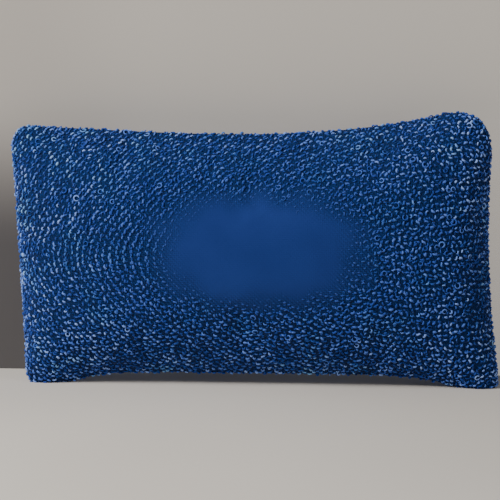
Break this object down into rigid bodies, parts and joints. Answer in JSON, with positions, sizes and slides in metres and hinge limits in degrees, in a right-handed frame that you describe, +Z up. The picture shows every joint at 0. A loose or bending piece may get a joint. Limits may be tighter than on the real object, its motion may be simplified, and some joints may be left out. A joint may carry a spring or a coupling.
{
  "type": "lumbar support cushion",
  "caption": "Rectangular lumbar cushion: a removable looped-fabric cover with a back zip over a fibre-filled insert; stands on its long edge.",
  "frame": {"origin": "on the floor under the centre of the bounding box, the cushion standing on its long edge", "axes": "+X along the width towards the taller end, +Y towards the back that has the zip, +Z up; the front panel faces -Y"},
  "size_m": [0.4963, 0.118, 0.2789],
  "materials": {
    "boucle": "looped navy and light blue boucle, matt",
    "sewing_thread": "navy polyester thread",
    "zip_tape": "woven navy polyester tape",
    "zip_coil": "navy nylon coil, satin",
    "zip_metal": "nickel plate, satin",
    "casing": "white spun casing, matt",
    "fibre": "white hollow polyester fibre"
  },
  "bodies": {
    "cushion": {"cover_front_panel": "boucle", "cover_back_upper_panel": "boucle", "cover_back_lower_panel": "boucle", "cover_seam_thread": "sewing_thread", "insert_front_casing": "casing", "insert_back_casing": "casing", "insert_seam_thread": "casing", "insert_fill": "fibre", "zip_upper_tape": "zip_tape", "zip_lower_tape": "zip_tape", "zip_upper_coil": "zip_coil", "zip_lower_coil": "zip_coil", "zip_upper_top_stop": "zip_metal", "zip_lower_top_stop": "zip_metal", "zip_bottom_stop": "zip_metal", "zip_upper_topstitch": "sewing_thread", "zip_lower_topstitch": "sewing_thread"},
    "slider": {"zip_slider_body": "zip_metal"},
    "pull": {"zip_pull_tab": "zip_metal"}
  },
  "joints": [
    {"name": "zip_slide", "type": "slide", "parent": "cushion", "child": "slider", "axis": [1, 0, 0], "range_m": [0, 0.2875]},
    {"name": "pull_swing", "type": "hinge", "parent": "slider", "child": "pull", "pos_m": [-0.14425, 0.04343, 0.06143], "axis": [0, 0.375, 0.927], "range_deg": [0, 165]}
  ]
}
